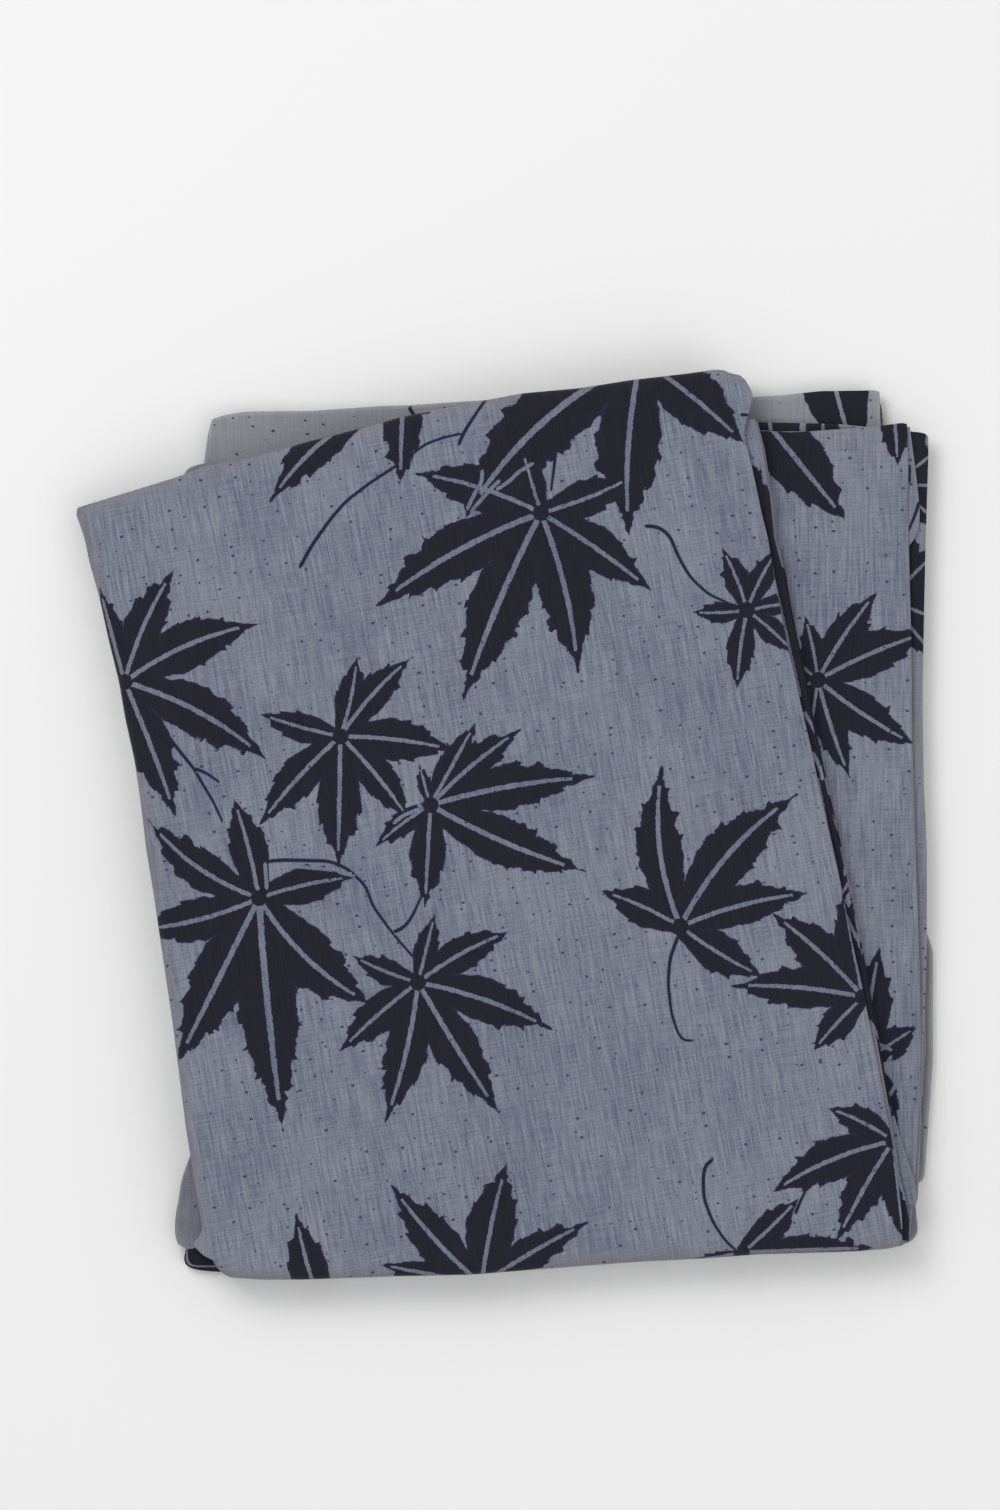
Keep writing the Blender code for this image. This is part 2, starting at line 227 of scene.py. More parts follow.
def panel(name, left, front, right, back, height, sides, spacing=1.3, droops=False, depths=None, mean=6):
    """A cloth panel between four side lines in the plan, each given from its first corner on in the
    order left, front, right, back round the panel.

    The face is a Coons patch: lines across it blend each pair of opposite sides. Towards an edge
    it drops like an ellipse, drop = D * (1 - sqrt(1 - h * h)), where h grows from 0 to 1 over the
    side's reach. Past the edge it goes down by the side's depth and tucks in at the bottom.
    Returned are the piece, where each of its points lies on the flat cloth, and how worn it is."""
    lines = [soft_line(line, 400) for line in (left, front, right, back)]
    lengths = [np.linalg.norm(np.diff(line, axis=0), axis=1).sum() for line in lines]
    u = spaced((lengths[1] + lengths[3]) / 2, spacing)
    v = spaced((lengths[0] + lengths[2]) / 2, spacing)
    west, east = soft_line(left, 1 - v, 1.0), soft_line(right, v, 1.0)
    south, north = soft_line(front, u, 1.0), soft_line(back, 1 - u, 1.0)
    a, b = np.meshgrid(u, v)
    a3, b3 = a[..., None], b[..., None]
    corners = (
        (1 - a3) * (1 - b3) * south[0] + a3 * (1 - b3) * south[-1]
        + (1 - a3) * b3 * north[0] + a3 * b3 * north[-1]
    )
    flat = (1 - b3) * south[None] + b3 * north[None] + (1 - a3) * west[:, None] + a3 * east[:, None] - corners
    width = (1 - b) * lengths[1] + b * lengths[3]
    length = (1 - a) * lengths[0] + a * lengths[2]
    away = [a * width, b * length, (1 - a) * width, (1 - b) * length]
    bends = [np.clip(1 - d / s.reach, 0, 1) for d, s in zip(away, sides)]
    total = sum(h * h for h in bends)
    drops = sum(h * h * s.drop for h, s in zip(bends, sides)) / np.maximum(total, 1e-9)
    fall = drops * (1 - np.sqrt(1 - np.clip(total, 0, 1)))
    x, y = flat[..., 0], flat[..., 1]
    z = height(x, y) - fall
    rows, columns = z.shape
    number = np.arange(rows * columns).reshape(rows, columns)
    ring = np.concatenate([number[0, :-1], number[:-1, -1], number[-1, :0:-1], number[:0:-1, 0]])
    owner = np.repeat([1, 2, 3, 0], [columns - 1, rows - 1, columns - 1, rows - 1])
    share = np.concatenate([u[:-1], v[:-1], 1 - u[:0:-1], 1 - v[:0:-1]])
    around = np.stack([x.ravel(), y.ravel(), z.ravel()], axis=1)[ring]
    ahead = np.roll(around, -2, axis=0) - np.roll(around, 2, axis=0)
    out = np.stack([ahead[:, 1], -ahead[:, 0]], axis=1)
    out /= np.linalg.norm(out, axis=1)[:, None] + 1e-9

    def evened(values):
        for _ in range(3):
            values = sum(np.roll(values, k, axis=0) for k in range(-mean, mean + 1)) / (2 * mean + 1)
        return values

    out = evened(out)
    out /= np.linalg.norm(out, axis=1)[:, None] + 1e-9
    depth = np.array([s.depth for s in sides])[owner]
    depth = evened(depth if depths is None else depths(owner, share, depth))
    tuck = evened(np.array([s.tuck for s in sides])[owner])
    steps = np.linspace(0, 1, WALL_RINGS + 1)[1:]
    fallen = np.minimum(steps / 0.72, 1)
    down, inward = np.sin(fallen * math.pi / 2) ** 0.9, smooth((steps - 0.35) / 0.65)
    bulge = np.sin(math.pi * fallen) * 0.05
    level = (around[:, 2] - depth * down[:, None]).ravel()
    shift = (bulge[:, None] * depth - inward[:, None] * tuck)[..., None] * out
    edge = (around[:, :2] + shift).reshape(-1, 2)
    wall = np.concatenate([edge, level[:, None]], axis=1)
    reach = steps[:, None] * (depth + tuck)
    beyond = (around[:, :2] + reach[..., None] * out).reshape(-1, 2)
    added = np.arange(WALL_RINGS * len(ring)).reshape(WALL_RINGS, -1)
    rim = np.concatenate([ring[None], rows * columns + added])
    after = np.roll(rim, -1, axis=1)
    quads = np.stack([number[:-1, :-1], number[:-1, 1:], number[1:, 1:], number[1:, :-1]], axis=-1)
    walls = np.stack([rim[:-1], rim[1:], after[1:], after[:-1]], axis=-1)
    faces = np.concatenate([quads.reshape(-1, 4), walls.reshape(-1, 4)])
    points = np.concatenate([np.stack([x.ravel(), y.ravel(), z.ravel()], axis=1), wall])
    if droops:
        points[:, 2] -= sink(points[:, 0], points[:, 1])
    chart = np.concatenate([flat.reshape(-1, 2), beyond])
    wear_and_painted_lift = np.concatenate([np.sqrt(np.clip(total, 0, 1)).ravel(), np.repeat(1 - 0.6 * steps, len(ring))])
    return surface(name, points, faces), chart, wear_and_painted_lift


def top_height(x, y):
    """The top of the bundle: nearly flat, with soft swells over the layers inside and a few long
    shallow creases."""
    z = TOP - 0.5 + 0.45 * waves(x, y, 120.0, 3) + 0.16 * waves(x, y, 38.0, 4)
    for start, end, width, height in (
        ((-150, 120), (-60, -40), 7.0, 0.5), ((-175, 128), (20, 176), 5.0, -0.45),
        ((60, 190), (88, 60), 6.0, 0.5), ((-110, -60), (-95, -175), 6.0, -0.4),
        ((20, -170), (150, -150), 6.0, 0.45), ((96, 20), (140, -110), 5.0, -0.4),
        ((-40, 60), (70, 20), 9.0, 0.35), ((-150, 40), (-128, -90), 4.0, 0.4),
        ((-60, 150), (60, 120), 8.0, -0.3),
    ):
        z = z + crease(x, y, start, end, width, height)
    return z


def top_depths(owner, share, depth):
    """The front roll, side 1, reaches the table except at its right end, where it runs out at the
    open edge."""
    return np.where(owner == 1, HEM.depth + (depth - HEM.depth) * smooth((1 - share) / 0.03), depth)


# The print, charted in pixels of the photo: leaf centres, and for each lobe its tip, how
# plump it is and how far its rib bows to the right. The lobes themselves are drawn by a formula.
Leaf = namedtuple("Leaf", "centre lobes")
TOP_LEAVES = (
    Leaf((541, 513), (
        (376, 606, 1.0, 0.042), (463, 700, 1.0, 0.022), (578, 672, 1.15, -0.038), (652, 591, 1.12, -0.02),
        (634, 476, 1.3, 0.03), (522, 450, 1.5, 0.0), (415.5, 473.5, 1.25, 0.044),
    )),
    Leaf((641, 358), (
        (463, 522, 1.0, 0.08), (629, 534.5, 1.28, 0.038), (745.5, 444, 1.45, -0.02), (520, 330, 1.2, 0.0),
        (740, 300, 1.2, 0.0), (650, 270, 1.2, 0.0),
    )),
    Leaf((747, 610), (
        (722, 548, 1.35, 0.03), (780, 546, 1.2, -0.03), (692, 612, 1.35, -0.03), (737, 690, 1.2, 0.02),
        (797, 655, 1.3, -0.02), (805, 600, 1.2, 0.0),
    )),
    Leaf((124, 682), (
        (98, 585.5, 0.95, 0.0), (174, 569.5, 1.12, -0.041), (258, 624, 1.15, -0.06), (267, 760, 1.05, -0.058),
        (176, 817, 1.03, -0.012), (70, 760, 1.1, 0.0), (60, 650, 1.1, 0.0),
    )),
    Leaf((340.5, 736.5), (
        (260, 714, 1.25, -0.02), (357, 656, 1.3, 0.03), (412, 657, 1.1, -0.04), (454, 750, 1.3, -0.03),
        (411, 823, 1.1, -0.03), (338, 868, 1.15, 0.0), (259, 826, 1.1, 0.03),
    )),
    Leaf((430.5, 805), (
        (419, 764, 1.2, 0.0), (476, 722, 1.1, 0.0), (521, 729, 1.05, -0.03), (594, 777, 0.95, -0.03),
        (585.5, 871.5, 1.0, 0.03), (425, 907, 1.22, 0.0), (376, 846, 1.25, 0.03),
    )),
    Leaf((259, 898), (
        (233, 797, 1.3, 0.02), (148, 820, 1.0, -0.075), (128, 930, 1.1, -0.05), (176, 1065, 1.05, 0.0),
        (283, 1130, 0.88, 0.01), (373, 1005, 1.25, 0.072), (355, 877, 1.35, -0.03),
    )),
    Leaf((418, 982.5), (
        (435, 913, 1.2, 0.0), (511, 931, 1.15, -0.04), (553, 1030, 1.08, -0.04), (499, 1113, 1.05, 0.01),
        (385, 1123, 1.02, -0.03), (340, 1051, 1.25, 0.02), (352, 955.5, 1.3, -0.03),
    )),
    Leaf((680.5, 926.5), (
        (662.5, 764, 0.98, -0.074), (797, 794.5, 1.05, -0.068), (810, 893, 1.03, -0.04),
        (763, 976.5, 1.45, 0.03), (602, 891, 1.55, 0.03),
    )),
    Leaf((863, 997), (
        (771, 912.5, 1.22, 0.03), (731, 986, 1.08, 0.03), (813, 1051.5, 1.5, 0.02), (842.5, 889, 1.2, 0.0),
        (890, 930, 1.2, 0.0),
    )),
    Leaf((893.5, 1141), (
        (827, 1108, 1.4, 0.04), (769, 1195, 1.08, 0.054), (837, 1241, 1.15, 0.02), (904, 1242, 1.2, 0.0),
        (940, 1120, 1.2, 0.0),
    )),
    Leaf((481.5, 1285), (
        (391, 1185, 1.08, -0.03), (506.5, 1164, 1.42, -0.02), (588.5, 1222, 0.95, -0.02),
        (377, 1264, 0.85, 0.0), (470, 1340, 1.2, 0.0),
    )),
    Leaf((326, 1318), ((296, 1213.5, 1.25, -0.03), (360, 1330, 1.2, 0.0), (250, 1330, 1.2, 0.0))),
    Leaf((742, 1253), (
        (799, 1198, 1.35, 0.02), (876, 1248, 0.8, 0.0), (690, 1262, 0.7, 0.0), (735, 1340, 1.2, 0.0),
    )),
    Leaf((404, 350), ((400, 487.5, 1.03, 0.0), (300, 425, 1.0, 0.0), (450, 380, 1.0, 0.0))),
    Leaf((372, 408), ((269, 503.5, 0.95, 0.068),)),
)
# Stems, each a row of points along its middle line, read off the photo
TOP_STEMS_AND_SHADOW = (
    (
        (300, 567), (312, 545), (330.5, 519), (346, 501), (371, 482), (392, 468.5), (411, 455), (425, 444),
        (445, 437), (462, 433.5),
    ),
    ((459, 444), (462, 435.5), (473, 418), (485, 400), (500, 384)),
    ((409.5, 408.5), (416, 414), (425.5, 412.5)),
    ((646, 526), (655, 526), (664, 530), (671, 538), (678, 556), (690, 577), (708, 594), (730, 604)),
    ((164.5, 732), (185, 758), (194, 768.5), (202.5, 784), (213, 801), (221.5, 820)),
    ((195.5, 769), (206, 772.5), (215.5, 779.5)),
    (
        (264, 862), (280, 860), (330, 861), (348, 869), (366, 886), (372, 905), (390, 930), (400, 942),
        (414, 958),
    ),
    ((394, 932), (404, 928), (412, 917), (421, 897)), ((556, 448), (554, 468), (551.5, 487)),
    ((678, 936.5), (670, 958), (668, 984), (671.5, 1014.5), (679, 1036), (685.5, 1042.5), (691, 1040.5)),
    ((763, 977), (770, 982), (790, 990)), ((795.5, 1213), (800, 1202), (806, 1190)),
    # Painted shadow: a dark mark for the hollow at the end of the back right roll
    ((741.5, 414.5), (745, 416.5), (749.5, 415)),
    ((712, 1160.5), (705.5, 1163.5), (703, 1178), (704, 1199.5), (713, 1222.5), (725, 1240.5), (737.5, 1252)),
)
# Short pale strokes, where one leaf lies over another, given the same way as the stems, and one painted
# highlight
TOP_STROKES_AND_HIGHLIGHT = (
    ((532.5, 463.5), (517, 473), (511, 480), (499, 488)),
    ((499, 481), (490.5, 489), (480.5, 500.5), (473.5, 508.5)),
    ((482.5, 471), (481.5, 483), (474.5, 493.5), (469, 505.5)), ((265, 863.5), (266.5, 884.5)),
    ((272.5, 870), (298, 866.5), (329, 869.5)), ((340, 872.5), (353, 875.5)),
    ((394, 823), (403, 815.5), (418, 809.5)), ((410.5, 793), (419.5, 805)),
    # Painted highlight: a pale mark for the lit edge of the roll's inner layer, above that painted shadow
    ((741, 410.5), (746, 410), (750.5, 407.5)),
)


# Half the width of a lobe, as a share of its length, from the leaf's centre to the lobe's tip
LOBE_AT = (0.0, 0.12, 0.28, 0.40, 0.50, 0.62, 0.75, 0.86, 0.93, 1.0)
LOBE_WIDTH = (0.065, 0.086, 0.118, 0.140, 0.142, 0.124, 0.086, 0.040, 0.018, 0.0)
NO_LOBE = (9000.0, 9000.0, 1.0, 0.0, 0.0, 1.0)


def print_on(piece, chart, wear_and_painted_lift, leaves, stems_and_shadow_lines=(), strokes_and_highlights=(), thread_turn=0.0, seed=0.0):
    """Stores the print and the cloth's own coordinates on a piece.

    Each face keeps the two lobes whose ribs are nearest for their width. At its corners it holds
    how far along the lobe the corner is, as a share of the lobe's length, how far across in
    millimetres, and the length. Its nearest stem, pale stroke or painted shadow line is kept as
    how far across the corner is, how far the stroke reaches to each side there, and whether it is
    pale; a pale one may be a painted highlight."""
    mesh = piece.data
    corner = np.empty(len(mesh.loops), np.int32)
    mesh.loops.foreach_get("vertex_index", corner)
    corner = corner.reshape(-1, 4)
    middles = chart[corner].mean(axis=1)
    lobes = []
    for leaf in leaves:
        for x, y, plump, bow in leaf.lobes:
            lobes.append((*leaf.centre, x - leaf.centre[0], y - leaf.centre[1], bow, plump))
    lobes = np.array(lobes or [NO_LOBE], float)

    def store(name, kind, domain, values):
        made = mesh.attributes.new(name, kind, domain)
        made.data.foreach_set("value" if kind == "FLOAT" else "vector", values.astype(np.float32).ravel())

    def in_lobe(points, which):
        x0, y0, dx, dy, bow = (lobes[which, k] for k in range(5))
        size = np.hypot(dx, dy)
        px, py = points[..., 0] - x0, points[..., 1] - y0
        along = (px * dx + py * dy) / size**2
        middle = bow * size * 4 * np.clip(along, 0, 1) * (1 - np.clip(along, 0, 1))
        return along, (px * dy - py * dx) / size - middle, size

    first, second = np.zeros(len(middles), int), np.zeros(len(middles), int)
    best, next_best = np.full(len(middles), -1e9), np.full(len(middles), -1e9)
    for k in range(len(lobes)):
        along, across, size = in_lobe(middles, np.full(len(middles), k))
        half = np.interp(along, LOBE_AT, LOBE_WIDTH) * size * lobes[k, 5] + 0.01
        cover = half - np.abs(across) - (np.maximum(along - 1, 0) + np.maximum(-along, 0)) * size
        cover = np.where(cover > 0, cover / half, cover / 8.0)
        wins, places = cover > best, (cover > next_best) & (cover <= best)
        second[places], next_best[places] = k, cover[places]
        second[wins], next_best[wins] = first[wins], best[wins]
        first[wins], best[wins] = k, cover[wins]
    for name, which in (("lobe_one", first), ("lobe_two", second)):
        along, across, size = in_lobe(chart[corner], np.repeat(which[:, None], 4, axis=1))
        store(name, "FLOAT_VECTOR", "CORNER", np.stack([along, across, size], axis=-1))
    plump = np.stack([lobes[first, 5], lobes[second, 5], lobes[first, 5]], axis=1)
    store("plump", "FLOAT_VECTOR", "FACE", plump)
    near, values = np.full(len(middles), 1e9), np.tile([50.0, 0.0, 0.0], (len(middles), 4, 1))
    for stem_and_shading_line, pale in (*((stem_and_shading_line, 0.0) for stem_and_shading_line in stems_and_shadow_lines), *((stroke, 1.0) for stroke in strokes_and_highlights)):
        line = soft_line(stem_and_shading_line, 40, 2.0 - pale)
        starts, ways = line[:-1], np.diff(line, axis=0)
        ways /= np.linalg.norm(ways, axis=1)[:, None]
        gap = np.linalg.norm(middles[:, None] - (starts + line[1:])[None] / 2, axis=-1)
        closer = gap.min(axis=1) < near
        near[closer] = gap.min(axis=1)[closer]
        pick, last = gap.argmin(axis=1)[closer], len(ways) - 1
        spot = chart[corner[closer]] - starts[pick][:, None]
        way = ways[pick][:, None]
        across = spot[..., 0] * way[..., 1] - spot[..., 1] * way[..., 0]
        along = (spot * way).sum(axis=-1)
        part = pick[:, None]
        past = np.maximum(np.where(part == 0, -along, 0), np.where(part == last, along - 2, 0))
        half = 0.85 - 0.3 * (part / last) * (1 - pale) - past
        values[closer] = np.stack([across, half, np.full(half.shape, pale)], axis=-1)
    store("stem_and_shading_line", "FLOAT_VECTOR", "CORNER", values)
    c, s = math.cos(thread_turn), math.sin(thread_turn)
    x, y = chart[:, 0], chart[:, 1]
    threads = np.stack([c * x + s * y, c * y - s * x, np.full(len(chart), seed)], axis=1)
    store("threads", "FLOAT_VECTOR", "POINT", threads)
    store("wear_and_painted_lift", "FLOAT", "POINT", wear_and_painted_lift)
    mesh.materials.append(COTTON)


class Number:
    """A number that changes over a surface: a node's socket. Sums on it add Math nodes."""

    def __init__(self, socket):
        self.socket = socket

    def node(self, kind, settings, inputs, output=0):
        """A new node in the same tree, with settings, then values or links for its sockets."""
        tree = self.socket.id_data
        made = tree.nodes.new(kind)
        for key, value in settings.items():
            setattr(made, key, value)
        for key, value in inputs.items():
            if isinstance(value, Number):
                tree.links.new(value.socket, made.inputs[key])
            else:
                made.inputs[key].default_value = value
        return Number(made.outputs[output])

    def math(self, operation, *others):
        return self.node("ShaderNodeMath", {"operation": operation}, dict(enumerate((self, *others))))

    def __add__(self, other):
        return self.math("ADD", other)

    def __sub__(self, other):
        return self.math("SUBTRACT", other)

    def __rsub__(self, other):
        return (self * -1.0) + other

    def __mul__(self, other):
        return self.math("MULTIPLY", other)

    __radd__, __rmul__ = __add__, __mul__

    def step(self, low, high, start=0.0, end=1.0):
        """A soft step from start to end as this number goes from low to high."""
        return self.node(
            "ShaderNodeMapRange", {"interpolation_type": "SMOOTHSTEP"},
            {"Value": self, "From Min": low, "From Max": high, "To Min": start, "To Max": end},
        )

    def parts(self, count):
        """The first of its x, y and z, as many as asked for."""
        return [self.node("ShaderNodeSeparateXYZ", {}, {0: self}, output=k) for k in range(count)]

    def noise(self, scale, detail=1.0):
        """Noise over these coordinates, each first multiplied by its own scale."""
        spot = self.node("ShaderNodeVectorMath", {"operation": "MULTIPLY"}, {0: self, 1: scale})
        return self.node("ShaderNodeTexNoise", {}, {"Vector": spot, "Scale": 1.0, "Detail": detail})

    def mix(self, one, two):
        """One colour where this number is 0, and the other where it is 1."""
        return self.node(
            "ShaderNodeMix", {"data_type": "RGBA", "clamp_factor": True}, {0: self, 6: one, 7: two}, output=2
        )


def lobe_ink(lobe, plump, threads):
    """How far inside a lobe a point is, in millimetres, and how far inside its midrib, both below
    0 outside. The lobe's half width follows LOBE_WIDTH, with saw teeth that point to its tip: the
    1.7th power of a saw wave along the lobe, tallest from its middle on."""
    along, across, size = lobe.parts(3)
    side = across.math("GREATER_THAN", 0.0)
    aside = across.math("ABSOLUTE")
    curve = along.node("ShaderNodeFloatCurve", {}, {"Value": along})
    points = curve.socket.node.mapping.curves[0].points
    points[0].location, points[1].location = (0.0, LOBE_WIDTH[0]), (1.0, 0.0)
    for at, half in list(zip(LOBE_AT, LOBE_WIDTH))[1:-1]:
        points.new(at, half)
    curve.socket.node.mapping.update()
    rough = threads.noise((0.16, 0.16, 1.0), 2.0)
    wave = along * (size * 0.040 + 3.9) + size * 0.37 + side * 0.43 + rough * 0.9
    teeth = wave.math("FRACT").math("POWER", 1.7)
    sharp = along.step(0.36, 0.66) * along.step(0.84, 0.96, 1.0, 0.0) * (size * 0.026 + 0.9)
    sharp = sharp * threads.noise((0.09, 0.09, 4.0)).step(0.25, 0.7, 0.35, 1.25)
    past = (along - 1.0).math("MAXIMUM", 0.0) + (along * -1.0).math("MAXIMUM", 0.0)
    ink = (curve * plump - past) * size + (teeth - 0.3) * sharp + (rough - 0.5) * (size * 0.055) - aside
    half = (size * 0.0095 + 0.42) * along.step(0.5, 0.95, 1.0, 0.6)
    half = half + (threads.noise((0.42, 0.42, 1.0), 2.0) - 0.5) * 1.1
    rib = (half - aside).math("MINIMUM", along * size - 3.6).math("MINIMUM", (0.87 - along) * size)
    return ink, rib


def printed_cotton():
    """Plain weave of uneven grey-blue threads, paler and darker streaks along the warp, a few
    navy and white slubs, and the leaves soaked in with a slightly bluer rim. Folds are greyer
    where the cloth is worn. A panel whose value is raised is greyer all over and, past 1,
    paler: painted light that lifts low layers out of the shade they lie in."""
    made = bpy.data.materials.new("printed_cotton")
    made.use_nodes = True
    tree = made.node_tree
    shader = tree.nodes["Principled BSDF"]

    def stored(name, output="Vector"):
        found = tree.nodes.new("ShaderNodeAttribute")
        found.attribute_name = name
        return Number(found.outputs[output])

    threads, wear_and_painted_lift = stored("threads"), stored("wear_and_painted_lift", "Fac")
    plump_one, plump_two = stored("plump").parts(2)
    ink_one, rib_one = lobe_ink(stored("lobe_one"), plump_one, threads)
    ink_two, rib_two = lobe_ink(stored("lobe_two"), plump_two, threads)
    aside, half, pale = stored("stem_and_shading_line").parts(3)
    line = half - aside.math("ABSOLUTE")
    ragged = (threads.noise((2.4, 1.6, 1.0)) - 0.5) * 0.5
    ink = ink_one.math("MAXIMUM", ink_two).math("MAXIMUM", line - pale * 9.0) + ragged
    rib = rib_one.math("MAXIMUM", rib_two).math("MAXIMUM", line - (1.0 - pale) * 9.0) + ragged
    dark = ink.step(-0.16, 0.16) * rib.step(-0.16, 0.16, 1.0, 0.0)

    warp = threads.noise((0.85, 0.040, 1.0), 2.0) * 0.6 + threads.noise((1.9, 0.09, 1.0), 1.0) * 0.4
    weft = threads.noise((0.06, 1.4, 1.0), 2.0)
    cloud = threads.noise((0.022, 0.014, 1.0), 2.0)
    grain = threads.noise((1.3, 1.1, 2.0), 1.0)
    shade = (warp - 0.5) * 1.5 + (weft - 0.5) * 0.55 + (cloud - 0.5) * 0.45 + (grain - 0.5) * 0.35
    streak = shade.step(-0.46, 0.46)
    ground = streak.mix((0.095, 0.112, 0.172, 1.0), (0.254, 0.270, 0.315, 1.0))
    # Greyer at worn folds, and all over where a panel's value is raised for the painted lift
    ground = (wear_and_painted_lift * 0.55 + cloud.step(0.55, 0.75, 0.0, 0.2)).mix(ground, (0.205, 0.202, 0.215, 1.0))
    # Painted light: paler streaks where the value is past 1, to lift low layers out of their shade
    painted_lift = streak.mix((0.255, 0.264, 0.315, 1.0), (0.405, 0.412, 0.455, 1.0))
    ground = (wear_and_painted_lift.step(1.0, 2.0) * 0.6).mix(ground, painted_lift)
    spots = threads.node(
        "ShaderNodeVectorMath", {"operation": "MULTIPLY"}, {0: threads, 1: (0.125, 0.16, 1.0)}
    )
    cells = {"Vector": spots, "Scale": 1.0, "Randomness": 1.0}
    near = threads.node("ShaderNodeTexVoronoi", {"voronoi_dimensions": "2D"}, cells)
    chance = threads.node("ShaderNodeTexVoronoi", {"voronoi_dimensions": "2D"}, cells, output="Color")
    luck, = chance.parts(1)
    slub = (luck * 0.125 - near - 0.018 + (grain - 0.5) * 0.12).step(-0.012, 0.022)
    dash = threads.noise((0.50, 2.3, 1.0), 2.0).step(0.67, 0.73) * 0.6
    nub = threads.noise((1.9, 1.5, 3.0)).step(0.785, 0.82)
    ground = slub.mix(ground, (0.040, 0.050, 0.115, 1.0))
    ground = dash.mix(ground, (0.060, 0.074, 0.150, 1.0))
    ground = (nub * 0.6).mix(ground, (0.46, 0.47, 0.50, 1.0))
    ground = (ink.step(-0.9, 0.1) * 0.30).mix(ground, (0.075, 0.095, 0.190, 1.0))
    deep = (warp - 0.5).step(-0.3, 0.3).mix((0.0100, 0.0100, 0.0180, 1.0), (0.0165, 0.0165, 0.0265, 1.0))
    indigo = ink.step(0.0, 1.5, 0.75, 0.0).mix(deep, (0.0150, 0.0185, 0.0500, 1.0))
    colour = dark.mix(ground, indigo)
    tree.links.new(colour.socket, shader.inputs["Base Color"])
    shader.inputs["Roughness"].default_value = 0.88
    shader.inputs["Specular IOR Level"].default_value = 0.16
    shader.inputs["Sheen Weight"].default_value = 0.05
    shader.inputs["Sheen Roughness"].default_value = 0.5

    sideways, lengthways = threads.parts(2)
    weave = (sideways * 7.0).math("SINE") * (lengthways * 6.3).math("SINE")
    relief = weave * 0.05 + warp * 0.35 + weft * 0.3 + dash * 0.2 + slub * 0.2
    bump = relief.node("ShaderNodeBump", {}, {"Strength": 0.45, "Distance": 0.0004, "Height": relief})
    tree.links.new(bump.socket, shader.inputs["Normal"])
    return made


COTTON = printed_cotton()


def lined(lines, height=TOP):
    """Lines given in pixels of the photo, in millimetres of the plan."""
    return [plan(line, height) for line in lines]


def charted(leaves, height=TOP):
    """Leaves given in pixels of the photo, in millimetres of the plan."""
    return [
        Leaf(plan(leaf.centre, height), [(*plan(lobe[:2], height), *lobe[2:]) for lobe in leaf.lobes])
        for leaf in leaves
    ]


def dress(piece, node):
    """Attaches a cloth piece to the root and hides the solid it stands in for."""
    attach(piece, "root")
    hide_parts(node)


top, chart, wear_and_painted_lift = panel(
    "top_panel", *lined((TOP_LEFT, TOP_FRONT, TOP_RIGHT, TOP_BACK)), top_height, (FOLD, ROLL, HEM, FOLD),
    droops=True, depths=top_depths,
)
print_on(
    top, chart, wear_and_painted_lift, charted(TOP_LEAVES), lined(TOP_STEMS_AND_SHADOW), lined(TOP_STROKES_AND_HIGHLIGHT),
    thread_turn=math.radians(11.0),
)
dress(top, "back_left_panel")


# Second panel: the right half of the back, of the same printed cotton. It lies on the lower half
# and shows as a wedge on the right, where the top of the bundle is turned askew. Its long edges are
# selvages.

THIN = Side(drop=0.5, reach=1.5, depth=0.8, tuck=4.0)
SECOND_LEVEL = 14.4
SECOND_LEFT = (
    (738, 431), (742, 480), (760, 570), (785, 690), (815, 830), (845, 960), (868, 1090), (886, 1185),
    (893, 1231),
)
SECOND_FRONT = ((893, 1231), (901, 1236), (910, 1237))
SECOND_RIGHT = (
    (910, 1237), (913.5, 1200), (917, 1150), (920, 1100), (921, 1040), (920, 980), (918, 915), (916, 860),
    (914, 800), (912.5, 745), (911.5, 650), (909, 545), (908, 500), (908.5, 470), (908, 440), (907, 424),
)
SECOND_BACK = ((907, 424), (904, 422.5), (880, 426), (840, 429), (793, 432.5), (765, 431), (738, 431))
SECOND_LEAVES = (
    Leaf((750, 402), ((848, 523, 1.3, 0.0), (760, 300, 1.2, 0.0), (640, 470, 1.2, 0.0))),
    Leaf((818, 680), (
        (805, 616, 1.3, 0.02), (878, 591, 1.1, -0.03), (930, 632, 1.25, -0.03), (916, 745, 1.2, 0.03),
        (850, 778, 1.1, 0.02), (810, 735, 1.2, 0.0), (770, 700, 1.2, 0.0), (772, 640, 1.2, 0.0),
    )),
    Leaf((867, 1059), ((880, 948, 1.35, -0.03), (917, 1027, 1.9, 0.0), (898, 1127, 1.3, 0.0))),
    Leaf((893, 396), ((898, 466, 1.45, 0.0),)),
)
SECOND_STROKES = (((878, 1044), (887, 1048)), ((884, 1070), (889, 1060.5)), ((890, 1095), (895, 1086)))


def low_height(level, swell, seed):
    """The face of a lower layer: level, with soft swells."""
    return lambda x, y: level + swell * waves(x, y, 70.0, seed)


second, chart, wear_and_painted_lift = panel(
    "second_panel", *lined((SECOND_LEFT, SECOND_FRONT, SECOND_RIGHT, SECOND_BACK), SECOND_LEVEL),
    low_height(SECOND_LEVEL, 0.25, 11), (THIN, THIN, THIN, THIN), mean=2,
)
print_on(
    second, chart, wear_and_painted_lift, charted(SECOND_LEAVES, SECOND_LEVEL), strokes_and_highlights=lined(SECOND_STROKES, SECOND_LEVEL),
    thread_turn=0.02, seed=3.0,
)
dress(second, "back_right_panel")


# Two front edges: the left front panel and the left overlap, of the same cotton and doubled over
# at the front opening. They show as slivers under the right edge of the top panel and fan out
# towards the front.

